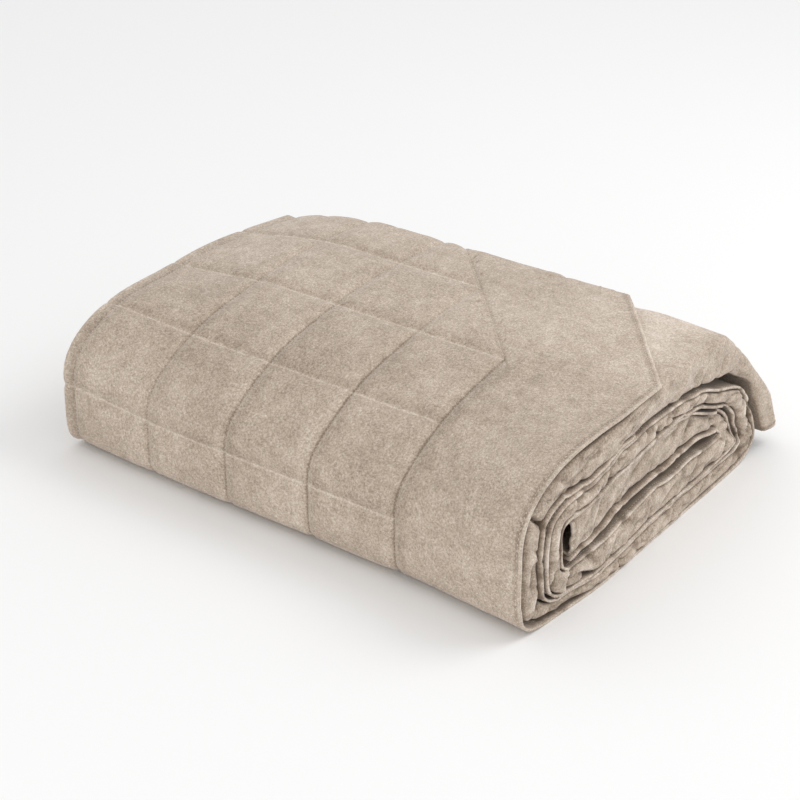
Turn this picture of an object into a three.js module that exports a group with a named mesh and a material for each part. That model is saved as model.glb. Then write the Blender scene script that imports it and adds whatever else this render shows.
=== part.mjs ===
// A thin quilted bedspread with cut corners, folded in four across its width and then rolled flat.
// X runs along the folded length, Y from the near long side to the back, Z up, in millimetres.
// The whole quilt is one sheet: each point of the flat cloth has a column, which says where it lies
// along X and in which ply, and a row, which says how far round the roll it lies.

import * as THREE from 'three';

// Cloth
const cell = 110; // pitch of the quilting squares
const clothThickness = 3; // at a quilted square's edge
const puffHeight = 1.6; // how far the middle of a square stands over the cloth
const seamDepth = 0.7; // how far a seam is drawn in
const puffReach = 0.33 * cell; // from a seam to the full height of a square
const airBetweenPlies = 1.6; // where two plies lie closest
const airBetweenTurns = 2; // between one turn of the roll and the next
const pressedFlat = 0.8; // cloth lower than this over the surface is pressed flat on it

// Folded length: the free hems at the right end and the closed folds at the left end
const hemX = 5.45 * cell; // the free hem of the outer ply, measured from the first cross seam
const leftFoldX = -15.4; // the closed folds that join the plies two by two
const leftSpread = 0.6 * cell; // how far from the left end the folds widen
const rightSpread = { from: 4.85 * cell, to: 5.33 * cell };
const secondPlySpread = { from: 3.6 * cell, to: 4.7 * cell }; // close under the flap
const foldReach = 7; // how far a folded edge is rounded along X
const foldSquare = 3.5; // and how square it is
const nearGap = 4; // how far the fold stands off the hem in the near bend
const startHeight = 70; // height of the first long seam over the surface
const midLength = 2.5 * cell; // where the distances round the roll are counted

// Levels between the half turns of the roll, at four stations from the near side to the back
const stations = { near: 50, middle: 160, crest: 275, back: 370 };
const levels = {
  surface: { near: 0, middle: 0, crest: 0, back: 0 },
  aboveBottomTurn: { near: 24, middle: 22, crest: 28, back: 27 },
  aboveSecondBottom: { near: 48, middle: 60, crest: 65, back: 50 },
  belowCoreTurn: { near: 54, middle: 65, crest: 71, back: 61 },
  aboveCoreTurn: { near: 101, middle: 110, crest: 115, back: 106 },
  belowTopTurn: { near: 121, middle: 134, crest: 138, back: 131 },
  top: { near: 166, middle: 170, crest: 178, back: 176 },
};

// The same levels at the right end, where the hems show, as heights z at a few places y
const endLevels = {
  aboveBottomTurn: [
    { y: 20, z: 25 }, { y: 55, z: 26 }, { y: 80, z: 22 }, { y: 110, z: 18 },
    { y: 135, z: 18 }, { y: 161, z: 20 }, { y: 192, z: 22 }, { y: 225, z: 24 },
    { y: 257, z: 26 }, { y: 321, z: 25 }, { y: 420, z: 27 },
  ],
  aboveSecondBottom: [
    { y: 30, z: 47 }, { y: 86, z: 49 }, { y: 118, z: 51 }, { y: 158, z: 56 },
    { y: 191, z: 59 }, { y: 227, z: 62 }, { y: 256, z: 59 }, { y: 301, z: 61 },
    { y: 337, z: 53 }, { y: 400, z: 50 },
  ],
  belowCoreTurn: [
    { y: 30, z: 51 }, { y: 66, z: 53 }, { y: 86, z: 55 }, { y: 118, z: 59 },
    { y: 158, z: 65 }, { y: 191, z: 67 }, { y: 227, z: 69 }, { y: 256, z: 68 },
    { y: 301, z: 70 }, { y: 337, z: 62 }, { y: 400, z: 58 },
  ],
  aboveCoreTurn: [
    { y: 30, z: 101 }, { y: 63, z: 100 }, { y: 86, z: 100 }, { y: 112, z: 103 },
    { y: 144, z: 108 }, { y: 179, z: 110 }, { y: 212, z: 113 }, { y: 269, z: 116 },
    { y: 301, z: 112 }, { y: 340, z: 104 }, { y: 400, z: 98 },
  ],
  belowTopTurn: [
    { y: 20, z: 126 }, { y: 54, z: 121 }, { y: 86, z: 122 }, { y: 118, z: 127 },
    { y: 158, z: 135 }, { y: 209, z: 138 }, { y: 256, z: 137 }, { y: 283, z: 135 },
    { y: 310, z: 131 }, { y: 340, z: 124 }, { y: 400, z: 108 },
  ],
};

// Where the section turns into that of the right end, along X, and at the back of the roll
const endBlend = { from: 430, to: 560 };
const backBlend = { from: 310, to: 590 };
const backTurn = 0.5; // the back of the roll's outermost layer
const turnsAround = 4; // and from there to the back of the next layer
const backReach = { from: 0.5, to: 1 }; // how many turns the back of a layer goes to either side

// Runs of the roll, from its outer end to its inner end; each lies between two levels
const runs = {
  topRun: { outer: 'top', inner: 'belowTopTurn', outward: 1 },
  bottomRun: { outer: 'surface', inner: 'aboveBottomTurn', outward: -1 },
  secondTopRun: { outer: 'belowTopTurn', inner: 'aboveCoreTurn', outward: 1 },
  secondBottomRun: { outer: 'aboveBottomTurn', inner: 'aboveSecondBottom', outward: -1 },
  coreRun: { outer: 'aboveCoreTurn', inner: 'belowCoreTurn', outward: 1 },
};

// Bends between the runs: where the outer and inner plies leave the run, how far they reach past
// that place, and how square they are on the side that they leave and on the side that they join
const bends = {
  nearBend: {
    side: -1, outerY: 144, outerReach: 156, innerY: 92, innerReach: 72,
    outerLeave: 2.6, outerJoin: 8, innerLeave: 4, innerJoin: 4.6,
  },
  backBend: {
    side: 1, outerY: 318, outerReach: 78, innerY: 318, innerReach: 56,
    outerLeave: 3.4, outerJoin: 2.8, innerLeave: 3.4, innerJoin: 2.8,
  },
  secondNearBend: {
    side: -1, outerY: 92, outerReach: 66, innerY: 88, innerReach: 41,
    outerLeave: 3.6, outerJoin: 4, innerLeave: 5, innerJoin: 4.5,
  },
  secondBackBend: {
    side: 1, outerY: 300, outerReach: 62, innerY: 300, innerReach: 42,
    outerLeave: 2.2, outerJoin: 2.2, innerLeave: 2.2, innerJoin: 2.2,
  },
};

// The back bends at the right end: places of their outer and inner plies, from the bottom up
const endBendRows = {
  backBend: [
    { outerY: 375, outerZ: 2, innerY: 368, innerZ: 22 },
    { outerY: 428, outerZ: 5, innerY: 408, innerZ: 23 },
    { outerY: 451, outerZ: 22, innerY: 424, innerZ: 32 },
    { outerY: 441, outerZ: 51, innerY: 413, innerZ: 51 },
    { outerY: 428, outerZ: 75, innerY: 403, innerZ: 69 },
    { outerY: 404, outerZ: 98, innerY: 386, innerZ: 84 },
    { outerY: 361, outerZ: 112, innerY: 352, innerZ: 97 },
  ],
  secondBackBend: [
    { outerY: 356, outerZ: 28, innerY: 324, innerZ: 57 },
    { outerY: 393, outerZ: 30, innerY: 346, innerZ: 55 },
    { outerY: 411, outerZ: 37, innerY: 362, innerZ: 54 },
    { outerY: 405, outerZ: 52, innerY: 371, innerZ: 57 },
    { outerY: 395, outerZ: 67, innerY: 366, innerZ: 64 },
    { outerY: 376, outerZ: 80, innerY: 347, innerZ: 69 },
    { outerY: 342, outerZ: 92, innerY: 324, innerZ: 73 },
  ],
};
const topRunStart = { outerY: 368, innerY: 352 };
const coreEnd = { outerY: 66, innerY: 64 };

// The end of the roll hangs down the back: places of its outer and inner plies, from the top run down
const tailRows = [
  { outerY: 408, outerZ: 138, innerY: 385, innerZ: 124 },
  { outerY: 425, outerZ: 98, innerY: 404, innerZ: 90 },
  { outerY: 434, outerZ: 64, innerY: 413, innerZ: 57 },
  { outerY: 436, outerZ: 16, innerY: 414, innerZ: 8 },
];
const endTailRows = [ // where the hems show
  { outerY: 402, outerZ: 147, innerY: 378, innerZ: 121 },
  { outerY: 430, outerZ: 119, innerY: 401, innerZ: 109 },
  { outerY: 449, outerZ: 99, innerY: 424, innerZ: 97 },
  { outerY: 469, outerZ: 77, innerY: 438, innerZ: 73 },
  { outerY: 480, outerZ: 58, innerY: 450, innerZ: 48 },
  { outerY: 497, outerZ: 22, innerY: 464, innerZ: 22 },
];

// How the section changes along X in the middle and at the left, against that of the right end
const slump = { middle: 0.232, left: 0.055, centreY: -12.6, width: 126 }; // share of the height lost
const crown = { middle: 0.042, left: -0.05 }; // share of the height gained
const nearSideStep = { middle: 11.5, left: 13.4, fadeY: 101 }; // how far the near side stands back
const rightBlend = { from: 4 * cell, to: 600 };
const leftBlend = { from: -11, to: 150 };

// The right end stands back towards the far side, by these shares of the distance from a place y
const recedeFrom = 100;
const flapRecede = 0.025;
const recede = 0.079;
const underFlap = { from: 2, to: 3.2 }; // turns where the hem goes from the flap's line to the others'

// Where the free hems and the folded edge at the right end lie along X, for each part of the roll
const endRows = [
  { turn: 0, outerHem: 599.5, fold: 610, innerHem: 608 },
  { turn: 1, outerHem: 599.5, fold: 603, innerHem: 601.5 },
  { turn: 1.9, outerHem: 599.5, fold: 602, innerHem: 601.5 },
  { turn: 2.1, outerHem: 599.5, fold: 597, innerHem: 599 },
  { turn: 2.8, outerHem: 600, fold: 597, innerHem: 600 },
  { turn: 3, outerHem: 602.5, fold: 604, innerHem: 602.5 },
  { turn: 5, outerHem: 602.5, fold: 602, innerHem: 601.5 },
  { turn: 6, outerHem: 602.5, fold: 604, innerHem: 603 },
  { turn: 8, outerHem: 602.5, fold: 603, innerHem: 603 },
  { turn: 8.5, outerHem: 602, fold: 602, innerHem: 602 },
  { turn: 9, outerHem: 601, fold: 592, innerHem: 597 },
  { turn: 9.6, outerHem: 601, fold: 589, innerHem: 596 },
  { turn: 9.9, outerHem: 601, fold: 600, innerHem: 600 },
  { turn: 10, outerHem: 601, fold: 602, innerHem: 601 },
];

// Nodes along X on each ply, in cells from the first cross seam, and nodes round the roll, in
// cells from the first long seam; the cut corner runs through the first cutSteps of both
const outerPlyNodes = [
  5.45, 5.17, 4.89, 4.6, 4.3, 4, 3.7, 3.37, 3, 2.7, 2.35, 2, 1.67, 1.33, 1, 0.67, 0.33, 0.05,
];
const innerPlyNodes = [0.12, 0.65, 1.36, 2.4, 3.4, 4.3, 5.02, 5.49];
const seamRows = [
  5.45, 5.12, 4.68, 4.33, 4, 3.67, 3.33, 3, 2.69, 2.38, 2.19, 2, 1.67, 1.33, 1, 0.67, 0.33, 0, -0.28, -0.5,
];
const cutSteps = 9;
const lastSeam = { x: 4, row: 4, diagonal: 6 }; // the outermost seams, and their sum on the corner
const lowestPuff = -0.4; // below this row the face lies against the surface and is plain
const flapTurns = 2.3; // the second ply lies close under the flap up to this turn
const leftFoldNodes = 3;
const rightFoldNodes = 4;
const lowerRows = { fromTurn: 2.8, counts: [1, 4, 6, 5, 6, 5, 6, 5] };

const smooth = (from, to, value) => {
  const share = Math.min(1, Math.max(0, (value - from) / (to - from)));
  return share * share * (3 - 2 * share);
};
const mix = (a, b, share) => a + (b - a) * share;
const hump = (value, centre, width) => Math.exp(-(((value - centre) / width) ** 2));

// Height of a level at y: on the cubic through its four stations, or on the curve of the right end
function levelAt(name, y, atEnd) {
  if (atEnd && endLevels[name]) {
    const places = endLevels[name];
    const next = Math.max(1, places.findIndex((place) => place.y >= y));
    const [a, b] = [places[next - 1], places[next]];
    return mix(a.z, b.z, smooth(a.y, b.y, y));
  }
  let height = 0;
  for (const [place, here] of Object.entries(stations)) {
    let weight = 1;
    for (const [other, there] of Object.entries(stations)) {
      if (other !== place) weight *= (y - there) / (here - there);
    }
    height += weight * levels[name][place];
  }
  return height;
}

// Middle of the outer and the inner ply of a run at y
function runHeights(run, outerY, innerY, atEnd) {
  const half = (clothThickness + airBetweenTurns) / 2;
  const outerGap = run.outer === 'top' || run.outer === 'surface' ? clothThickness / 2 : half;
  return {
    outer: levelAt(run.outer, outerY, atEnd) - run.outward * outerGap,
    inner: levelAt(run.inner, innerY, atEnd) + run.outward * half,
  };
}

const runOrder = Object.values(runs);
const bendOrder = Object.values(bends);
const lastTurn = 1 + runOrder.length + bendOrder.length;

// A run goes from the bend before it to the one after it; the first and the last start or end free
function runPoint(index, share, atEnd) {
  const before = index === 0 ? topRunStart : bendOrder[index - 1];
  const after = bendOrder[index] ?? coreEnd;
  const outerY = mix(before.outerY, after.outerY, share);
  const innerY = mix(before.innerY, after.innerY, share);
  const heights = runHeights(runOrder[index], outerY, innerY, atEnd);
  return { outer: [outerY, heights.outer], inner: [innerY, heights.inner] };
}

function squaredRadius(angle, square) {
  return (Math.abs(Math.cos(angle)) ** square + Math.abs(Math.sin(angle)) ** square) ** (-1 / square);
}

// A bend is half of a squared ellipse, from one run's height to the next one's
function bendLine(bend, line, fromZ, toZ, share) {
  const angle = Math.PI * (share - 0.5);
  const square = bend[line + (angle < 0 ? 'Leave' : 'Join')];
  const radius = squaredRadius(angle, square);
  const y = bend[`${line}Y`] + bend.side * bend[`${line}Reach`] * radius * Math.abs(Math.cos(angle));
  return [y, (fromZ + toZ) / 2 + radius * Math.sin(angle) * (toZ - fromZ) / 2];
}

function curveThrough(places) {
  const points = places.map(([y, z]) => new THREE.Vector3(0, y, z));
  return new THREE.CatmullRomCurve3(points, false, 'catmullrom');
}

function bendPoint(index, share, atEnd) {
  const bend = bendOrder[index];
  const from = runHeights(runOrder[index], bend.outerY, bend.innerY, atEnd);
  const to = runHeights(runOrder[index + 1], bend.outerY, bend.innerY, atEnd);
  const endRowsOfBend = endBendRows[Object.keys(bends)[index]];
  const line = (side) => {
    if (!atEnd || !endRowsOfBend) return bendLine(bend, side, from[side], to[side], share);
    const places = endRowsOfBend.map((row) => [row[`${side}Y`], row[`${side}Z`]]);
    const y = bend[`${side}Y`];
    const point = curveThrough([[y, from[side]], ...places, [y, to[side]]]).getPoint(share);
    return [point.y, point.z];
  };
  return { outer: line('outer'), inner: line('inner') };
}

function tailCurve(side, atEnd) {
  const heights = runHeights(runs.topRun, topRunStart.outerY, topRunStart.innerY, atEnd);
  const places = (atEnd ? endTailRows : tailRows).map((row) => [row[`${side}Y`], row[`${side}Z`]]);
  return curveThrough([[topRunStart[`${side}Y`], heights[side]], ...places]);
}

const tailCurves = [false, true].map((atEnd) => ({
  outer: tailCurve('outer', atEnd),
  inner: tailCurve('inner', atEnd),
}));

function tailPoint(share, atEnd) {
  const curves = tailCurves[atEnd ? 1 : 0];
  const outer = curves.outer.getPoint(1 - share);
  const inner = curves.inner.getPoint(1 - share);
  return { outer: [outer.y, outer.z], inner: [inner.y, inner.z] };
}

// The roll's section, in the middle or at the right end: turn runs from 0 at the hanging end to 10
// at the core, by one for the hanging end and for each run and bend
function sectionAt(turn, atEnd) {
  if (turn < 1) return tailPoint(turn, atEnd);
  const part = Math.min(Math.floor(turn) - 1, lastTurn - 2);
  const share = turn - 1 - part;
  const index = Math.floor(part / 2);
  return part % 2 === 0 ? runPoint(index, share, atEnd) : bendPoint(index, share, atEnd);
}

// Distance between the outer ply and the line of the inner one, square to the outer ply
function depthAt(turn, atEnd) {
  const step = 0.01;
  const { outer, inner } = sectionAt(turn, atEnd);
  const before = sectionAt(Math.max(0, turn - step), atEnd).outer;
  const after = sectionAt(Math.min(lastTurn, turn + step), atEnd).outer;
  const along = [after[0] - before[0], after[1] - before[1]];
  const across = [inner[0] - outer[0], inner[1] - outer[1]];
  return Math.abs(along[0] * across[1] - along[1] * across[0]) / Math.hypot(...along);
}

// Moves a point of the section to where it lies at x; the cloth on the surface stays there
function placeAt(x, y, z) {
  const lowest = clothThickness / 2;
  const fromRight = 1 - smooth(rightBlend.from, rightBlend.to, x);
  const fromLeft = smooth(leftBlend.from, leftBlend.to, x);
  const change = (table) => mix(table.left, table.middle, fromLeft) * fromRight;
  const slumped = change(slump) * hump(y, slump.centreY, slump.width);
  const steppedBack = change(nearSideStep) * (1 - smooth(0, nearSideStep.fadeY, y));
  return new THREE.Vector3(
    x,
    y + steppedBack,
    lowest + (z - lowest) * (1 - slumped + change(crown)),
  );
}

// Turn at which the outer ply, at mid length, has gone a given number of cells from the first seam
function turnsAtCells() {
  const steps = 4000;
  const nearBendTurn = 2;
  const bottomTurn = 3;
  const line = [];
  let length = 0;
  let before = null;
  for (let step = 0; step <= steps; step += 1) {
    const turn = bottomTurn * step / steps;
    const [y, z] = sectionAt(turn, false).outer;
    const point = placeAt(midLength, y, z);
    if (before) length += point.distanceTo(before);
    line.push({ turn, length, height: point.z });
    before = point;
  }
  const start = line.find((place) => place.turn > nearBendTurn && place.height < startHeight);
  return (cells) => line.find((place) => place.length >= start.length - cells * cell).turn;
}

const turnAtCells = turnsAtCells();
const rows = seamRows.map((cells, index) => ({ cells, turn: index === 0 ? 0 : turnAtCells(cells) }));
lowerRows.counts.forEach((count, part) => {
  const from = part === 0 ? lowerRows.fromTurn : part + 2;
  const to = part + 3;
  for (let step = part === 0 ? 0 : 1; step <= count; step += 1) {
    rows.push({ cells: lowestPuff - 1, turn: mix(from, to, step / count) });
  }
});

// Columns across the folded cloth: the four plies and the three folds that join them
const plyColumns = (ply, nodes) => nodes.map((cells) => ({ ply, x: cells * cell }));
const foldedPlyNodes = innerPlyNodes.slice(0, -1);
const foldColumns = (ply, side, count) => Array.from({ length: count }, (unused, index) => (
  { ply, side, angle: Math.PI * ((index + 1) / (count + 1) - 0.5) }
));
const fromRight = [...foldedPlyNodes].reverse();
const columns = [
  ...plyColumns(0, outerPlyNodes),
  ...foldColumns(0, -1, leftFoldNodes),
  ...plyColumns(1, foldedPlyNodes),
  ...foldColumns(1, 1, rightFoldNodes),
  ...plyColumns(2, fromRight),
  ...foldColumns(2, -1, leftFoldNodes),
  ...plyColumns(3, innerPlyNodes),
];

// Where each ply's nodes are counted to; folded plies end where their fold begins
const lastNodeX = [hemX, 5.49 * cell - foldReach, 5.49 * cell - foldReach, 5.49 * cell];

// How deep a ply lies in its turn at x: evenly in the middle, wide open in the folds at the ends
function plyDepth(ply, x, depth, turn) {
  const closest = clothThickness + airBetweenPlies;
  const even = depth * ply / 3;
  const inNearBend = smooth(1.9, 2.1, turn) * (1 - smooth(2.8, 3, turn));
  const atRight = [0, closest + nearGap * inNearBend, depth - closest, depth][ply];
  const atLeft = [0, (depth - closest) / 2, (depth + closest) / 2, depth][ply];
  const spread = ply === 1 && turn < flapTurns ? secondPlySpread : rightSpread;
  const rightShare = smooth(spread.from, spread.to, x);
  const leftShare = 1 - smooth(leftFoldX, leftFoldX + leftSpread, x);
  return even + (atRight - even) * rightShare + (atLeft - even) * leftShare;
}

// Where an edge at the right end lies along X, at a turn and at y
function endX(edge, turn, y) {
  const next = Math.max(1, endRows.findIndex((row) => row.turn >= turn));
  const [a, b] = [endRows[next - 1], endRows[next]];
  const plain = mix(a[edge], b[edge], smooth(a.turn, b.turn, turn));
  const under = edge === 'outerHem' ? smooth(underFlap.from, underFlap.to, turn) : 1;
  return plain - Math.max(0, y - recedeFrom) * mix(flapRecede, recede, under);
}

// Where a column lies along X and how deep in its turn
function columnPlace(column, turn, section, depth) {
  const foldStart = leftFoldX + foldReach;
  const foldY = (section.outer[0] + section.inner[0]) / 2;
  if (column.angle === undefined) {
    let end = endX('fold', turn, foldY) - foldReach;
    if (column.ply === 0) end = endX('outerHem', turn, section.outer[0]);
    if (column.ply === 3) end = endX('innerHem', turn, section.inner[0]);
    const x = mix(foldStart, end, (column.x - foldStart) / (lastNodeX[column.ply] - foldStart));
    return { x, into: plyDepth(column.ply, x, depth, turn) };
  }
  const foldX = column.side > 0 ? endX('fold', turn, foldY) : leftFoldX;
  const radius = squaredRadius(column.angle, foldSquare);
  const x = foldX - column.side * foldReach * (1 - radius * Math.cos(column.angle));
  const from = plyDepth(column.ply, foldX, depth, turn);
  const to = plyDepth(column.ply + 1, foldX, depth, turn);
  return { x, into: mix(from, to, (1 + radius * Math.sin(column.angle)) / 2) };
}

// The section turns into that of the right end along X, more slowly round the back of the roll
function clothPoint(column, row) {
  const middle = sectionAt(row.turn, false);
  const end = sectionAt(row.turn, true);
  const place = columnPlace(column, row.turn, end, depthAt(row.turn, false));
  const fromBack = Math.abs((row.turn - backTurn + turnsAround / 2) % turnsAround - turnsAround / 2);
  const atBack = 1 - smooth(backReach.from, backReach.to, fromBack);
  const from = mix(endBlend.from, backBlend.from, atBack);
  const share = smooth(from, mix(endBlend.to, backBlend.to, atBack), place.x);
  const depth = mix(depthAt(row.turn, false), depthAt(row.turn, true), share);
  const { x, into } = columnPlace(column, row.turn, end, depth);
  const blended = (side, axis) => mix(middle[side][axis], end[side][axis], share);
  const deep = into / depth;
  const y = mix(blended('outer', 0), blended('inner', 0), deep);
  const z = mix(blended('outer', 1), blended('inner', 1), deep);
  return placeAt(x, y, z);
}

// How far the face stands out at a place of the outer ply, with seams in squares and a cut corner
function puffAt(column, row) {
  if (column.ply !== 0 || column.angle !== undefined || row.cells < lowestPuff) return 0;
  const x = column.x / cell;
  const seams = [Math.abs(row.cells - lastSeam.row), Math.abs(x - lastSeam.x)];
  const beyond = x + row.cells - lastSeam.diagonal;
  seams.push(Math.abs(beyond) / Math.SQRT2);
  if (beyond < 0.1 && x <= lastSeam.x && row.cells <= lastSeam.row) { // inside the outermost seams
    seams.push(Math.abs(x - Math.round(x)), Math.abs(row.cells - Math.round(row.cells)));
  }
  const share = smooth(0, puffReach / cell, Math.min(...seams));
  return mix(-seamDepth, puffHeight, share);
}

// Triangles of the flat cloth between its nodes, without the cut corner
function clothTriangles() {
  const triangles = [];
  const at = (column, row) => column * rows.length + row;
  for (let column = 0; column < columns.length - 1; column += 1) {
    for (let row = 0; row < rows.length - 1; row += 1) {
      const a = at(column, row);
      const b = at(column + 1, row);
      const c = at(column + 1, row + 1);
      const d = at(column, row + 1);
      if (columns[column].ply % 2 === 1) {
        triangles.push([a, b, c], [a, c, d]); // split the same way along X on every ply
        continue;
      }
      if (column + row >= cutSteps - 1) triangles.push([b, c, d]);
      if (column + row >= cutSteps) triangles.push([a, b, d]);
    }
  }
  return triangles;
}

// Both faces of the cloth, set off from its middle along its normals, and the rim between them
function thickened(middle, triangles, outOffsets) {
  const flat = new THREE.BufferGeometry().setFromPoints(middle);
  flat.setIndex(triangles.flat());
  flat.computeVertexNormals();
  const normal = new THREE.Vector3();
  const points = [];
  for (const side of [1, -1]) {
    middle.forEach((point, index) => {
      normal.fromBufferAttribute(flat.attributes.normal, index);
      const offset = clothThickness / 2 + (side > 0 ? outOffsets[index] : 0);
      points.push(point.clone().addScaledVector(normal, side * offset));
    });
  }
  const count = middle.length;
  const faces = triangles.map(([a, b, c]) => [a, b, c]);
  faces.push(...triangles.map(([a, b, c]) => [a + count, c + count, b + count]));
  const edges = new Map();
  for (const [a, b, c] of triangles) {
    for (const [from, to] of [[a, b], [b, c], [c, a]]) edges.set(`${from},${to}`, [from, to]);
  }
  for (const [from, to] of edges.values()) {
    if (edges.has(`${to},${from}`)) continue;
    faces.push([from, from + count, to + count], [from, to + count, to]);
  }
  return { points, faces };
}

function quiltGeometry() {
  const middle = [];
  const outOffsets = [];
  for (const column of columns) {
    for (const row of rows) {
      middle.push(clothPoint(column, row));
      outOffsets.push(puffAt(column, row));
    }
  }
  const { points, faces } = thickened(middle, clothTriangles(), outOffsets);
  const used = [...new Set(faces.flat())].sort((a, b) => a - b);
  const newIndex = new Map(used.map((old, index) => [old, index]));
  const geometry = new THREE.BufferGeometry().setFromPoints(used.map((old) => points[old]));
  geometry.setIndex(faces.flat().map((old) => newIndex.get(old)));
  geometry.computeBoundingBox();
  const box = geometry.boundingBox;
  geometry.translate(-(box.min.x + box.max.x) / 2, -(box.min.y + box.max.y) / 2, -box.min.z);
  const places = geometry.attributes.position;
  for (let index = 0; index < places.count; index += 1) {
    if (places.getZ(index) < pressedFlat) places.setZ(index, 0);
  }
  geometry.computeVertexNormals();
  return geometry;
}

const cloth = new THREE.MeshStandardMaterial({ color: 0xc0b09c, roughness: 0.95, metalness: 0 });
const quilt = new THREE.Mesh(quiltGeometry(), cloth);
quilt.name = 'quilt';

const group = new THREE.Group();
group.add(quilt);

export default group;
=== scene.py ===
import math
from bisect import bisect_left

import bmesh
import bpy
from mathutils import Matrix, Vector, noise


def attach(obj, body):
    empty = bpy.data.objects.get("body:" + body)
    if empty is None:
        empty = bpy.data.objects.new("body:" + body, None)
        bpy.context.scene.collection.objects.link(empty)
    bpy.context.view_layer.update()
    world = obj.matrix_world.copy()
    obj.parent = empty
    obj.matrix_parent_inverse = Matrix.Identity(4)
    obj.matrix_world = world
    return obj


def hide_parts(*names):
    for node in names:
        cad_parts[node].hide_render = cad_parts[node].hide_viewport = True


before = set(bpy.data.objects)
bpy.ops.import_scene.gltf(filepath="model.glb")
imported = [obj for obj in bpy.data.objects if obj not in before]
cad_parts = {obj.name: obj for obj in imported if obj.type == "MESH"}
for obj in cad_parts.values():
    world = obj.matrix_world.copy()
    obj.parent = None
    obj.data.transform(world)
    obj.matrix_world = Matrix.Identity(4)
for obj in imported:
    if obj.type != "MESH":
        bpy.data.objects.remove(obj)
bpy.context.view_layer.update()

mm = 0.001
noise.seed_set(5)  # the same waves each run


def smooth(low, high, value):
    share = min(1.0, max(0.0, (value - low) / (high - low)))
    return share * share * (3 - 2 * share)


def mix(a, b, share):
    return a + (b - a) * share


def hump(value, centre, width):
    return math.exp(-(((value - centre) / width) ** 2))


# The quilt is one sheet: folded in four across its width, then rolled flat.
# Here x runs from the first cross seam to the hems, y from the near side to the back and z up, in mm.
# "across" and "along" are places on the flat cloth in quilting squares: across from the outer hem,
# along from the first long seam.
quilt = {
    "square": 110,  # pitch of the quilting
    "thickness": 2.6,
    "layer": 3,  # thickness that the cloth is given in the roll, its air aside
    "centre": (294.22, 238.49),  # of the folded quilt, which is the part's own origin
    "airBetweenPlies": 0.7,
    "airBetweenTurns": 1.4,
    "hem": 5.45,  # squares from the first cross seam to the outer hem
    "leftFold": -0.14,
    "leftSpread": 0.6,
    "rightSpread": (4.85, 5.33),  # where the folds at the hem end open
    "secondPlySpread": (3.6, 4.7),  # the second ply lies close under the flap
    "foldReach": 5,  # how far a folded edge is rounded along x
    "foldSquare": 3.5,  # and how square it is
    "nearGap": 4,  # how far the fold stands off the hem in the near bend
    "nearGapTurns": ((1.9, 2.1), (2.8, 3)),  # turns where it opens and closes
    "flapTurns": 2.3,  # turn up to which the second ply is under the flap
    "firstSeamHeight": 70,
    "midLength": 275,  # x where the distances round the roll are counted
    "cutAcross": 2.38,  # where the cut corner starts on the hem, in squares along
    "cutSlope": 1.12,  # squares along for each one across
    "lastSeam": 4,  # the outermost seam that shows, across and along
    "cornerSeam": 6,  # the sum of both places on the seam across the corner
    "lastShown": 2.82,  # turn where the roll covers the outer ply
    "facing": -0.8,  # squares along, beyond which the outer ply lies against the surface
}
square = quilt["square"]

# Heights of the borders between the half turns of the roll, at four places in y
stations = (50, 160, 275, 370)
levels = {
    "surface": (0, 0, 0, 0),
    "aboveBottomTurn": (24, 22, 28, 27),
    "aboveSecondBottom": (48, 60, 65, 50),
    "belowCoreTurn": (54, 65, 71, 61),
    "aboveCoreTurn": (101, 110, 115, 106),
    "belowTopTurn": (121, 134, 138, 131),
    "top": (166, 170, 178, 176),
}
endLevels = {  # the same borders where the hems show, as pairs of y and height
    "aboveBottomTurn": (
        (20, 25), (55, 26), (80, 22), (110, 18), (135, 18), (161, 20), (192, 22), (225, 24),
        (257, 26), (321, 25), (420, 27),
    ),
    "aboveSecondBottom": (
        (30, 47), (86, 49), (118, 51), (158, 56), (191, 59), (227, 62), (256, 59), (301, 61),
        (337, 53), (400, 50),
    ),
    "belowCoreTurn": (
        (30, 51), (66, 53), (86, 55), (118, 59), (158, 65), (191, 67), (227, 69), (256, 68),
        (301, 70), (337, 62), (400, 58),
    ),
    "aboveCoreTurn": (
        (30, 101), (63, 100), (86, 100), (112, 103), (144, 108), (179, 110), (212, 113),
        (269, 116), (301, 112), (340, 104), (400, 98),
    ),
    "belowTopTurn": (
        (20, 126), (54, 121), (86, 122), (118, 127), (158, 135), (209, 138), (256, 137),
        (283, 135), (310, 131), (340, 124), (400, 108),
    ),
}
runs = (  # outer border, inner border, +1 where the outer one is above
    ("top", "belowTopTurn", 1),
    ("surface", "aboveBottomTurn", -1),
    ("belowTopTurn", "aboveCoreTurn", 1),
    ("aboveBottomTurn", "aboveSecondBottom", -1),
    ("aboveCoreTurn", "belowCoreTurn", 1),
)
bends = (  # y where each line leaves its run, its reach past that, how square it leaves and joins
    {"side": -1, "outer": (144, 156, 2.6, 8), "inner": (92, 72, 4, 4.6)},
    {
        "side": 1, "outer": (318, 78, 3.4, 2.8), "inner": (318, 56, 3.4, 2.8),
        "outerAtEnd": ((375, 2), (428, 5), (451, 22), (441, 51), (428, 75), (404, 98), (361, 112)),
        "innerAtEnd": ((368, 22), (408, 23), (424, 32), (413, 51), (403, 69), (386, 84), (352, 97)),
    },
    {"side": -1, "outer": (92, 66, 3.6, 4), "inner": (88, 41, 5, 4.5)},
    {
        "side": 1, "outer": (300, 62, 2.2, 2.2), "inner": (300, 42, 2.2, 2.2),
        "outerAtEnd": ((356, 28), (393, 30), (411, 37), (405, 52), (395, 67), (376, 80), (342, 92)),
        "innerAtEnd": ((324, 57), (346, 55), (362, 54), (371, 57), (366, 64), (347, 69), (324, 73)),
    },
)
topRunStart = (368, 352)
coreEnd = (66, 64)
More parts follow.
